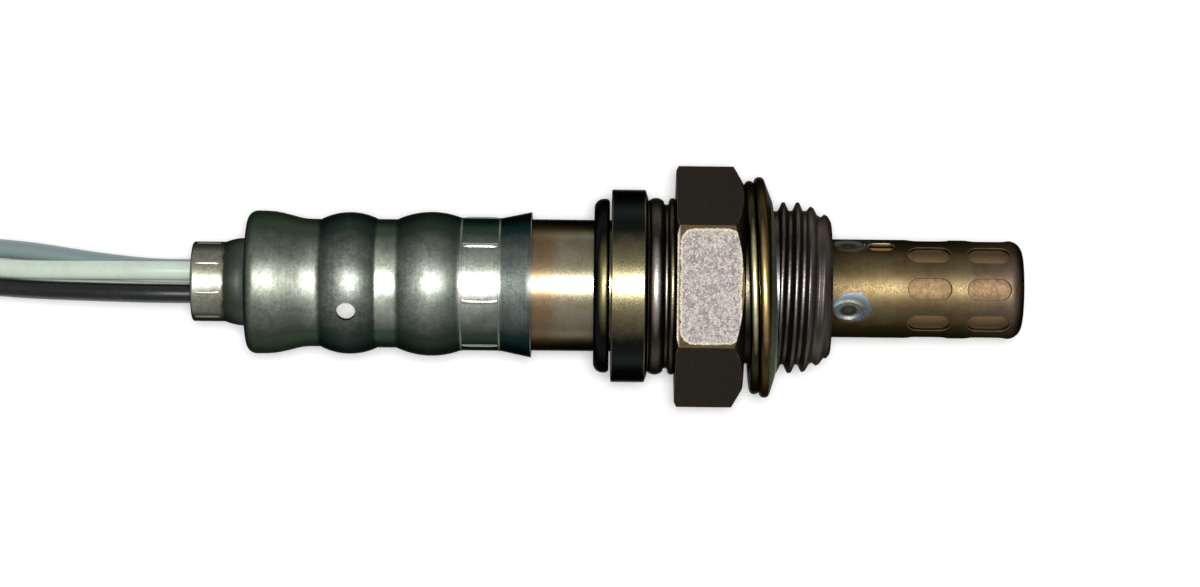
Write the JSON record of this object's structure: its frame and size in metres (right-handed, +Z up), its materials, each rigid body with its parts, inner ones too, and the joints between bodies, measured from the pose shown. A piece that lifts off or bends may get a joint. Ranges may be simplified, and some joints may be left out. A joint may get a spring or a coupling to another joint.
{
  "type": "oxygen sensor",
  "caption": "Heated oxygen sensor for an exhaust pipe, with a threaded hexagon housing, folded gasket, slotted tip cover, vented sleeve, wires, braided lead and connector.",
  "frame": {"origin": "on the sensor's axis where the thread starts, in front of the gasket", "axes": "+X along the sensor's axis towards its tip, +Z up, with the lower flat of the hexagon on the ground at z = -0.011 m"},
  "size_m": [0.2465, 0.0542, 0.0232],
  "materials": {
    "housing_steel": "heat-darkened steel",
    "gasket_steel": "heat-tinted folded sheet",
    "ring_steel": "heat-tinted steel",
    "tube_steel": "brown heat-tinted stainless steel",
    "sleeve_steel": "mottled stainless steel",
    "cover_steel": "golden heat-tinted stainless steel",
    "inner_cover_steel": "heat-tinted stainless steel",
    "zirconia": "matt ceramic",
    "alumina": "matt ceramic",
    "talc": "pressed powder",
    "contact_metal": "bright nickel alloy",
    "filter_white": "porous white",
    "grommet_rubber": "matt black rubber",
    "wire_white": "smooth insulation",
    "wire_black": "smooth insulation",
    "wire_grey": "smooth insulation",
    "loom_braid": "varnished glass-fibre braid",
    "tie_nylon": "moulded nylon",
    "connector_plastic": "moulded, fine grain",
    "seal_rubber": "silicone rubber",
    "retainer_plastic": "moulded",
    "terminal_brass": "tinned brass"
  },
  "bodies": {
    "root": {"housing": "housing_steel", "gasket": "gasket_steel", "stop_ring": "ring_steel", "rear_tube": "tube_steel", "vent_sleeve": "sleeve_steel", "outer_tip_cover": "cover_steel", "inner_tip_cover": "inner_cover_steel", "sensing_element": "zirconia", "heater_rod": "alumina", "seal_washer": "contact_metal", "talc_ring": "talc", "spacer_ring": "alumina", "caulk_ring": "contact_metal", "vent_filter": "filter_white", "terminal_holder": "alumina", "holder_spring": "contact_metal", "grommet": "grommet_rubber", "heater_contact_1": "contact_metal", "heater_contact_2": "contact_metal", "signal_contact": "contact_metal", "ground_contact": "contact_metal", "white_wire_1": "wire_white", "white_wire_2": "wire_white", "black_wire": "wire_black", "grey_wire": "wire_grey", "loom": "loom_braid", "cable_tie": "tie_nylon", "connector_boot": "grommet_rubber", "connector_body": "connector_plastic", "connector_seal": "seal_rubber", "connector_retainer": "retainer_plastic", "terminal_1": "terminal_brass", "terminal_2": "terminal_brass", "terminal_3": "terminal_brass", "terminal_4": "terminal_brass"}
  },
  "joints": []
}
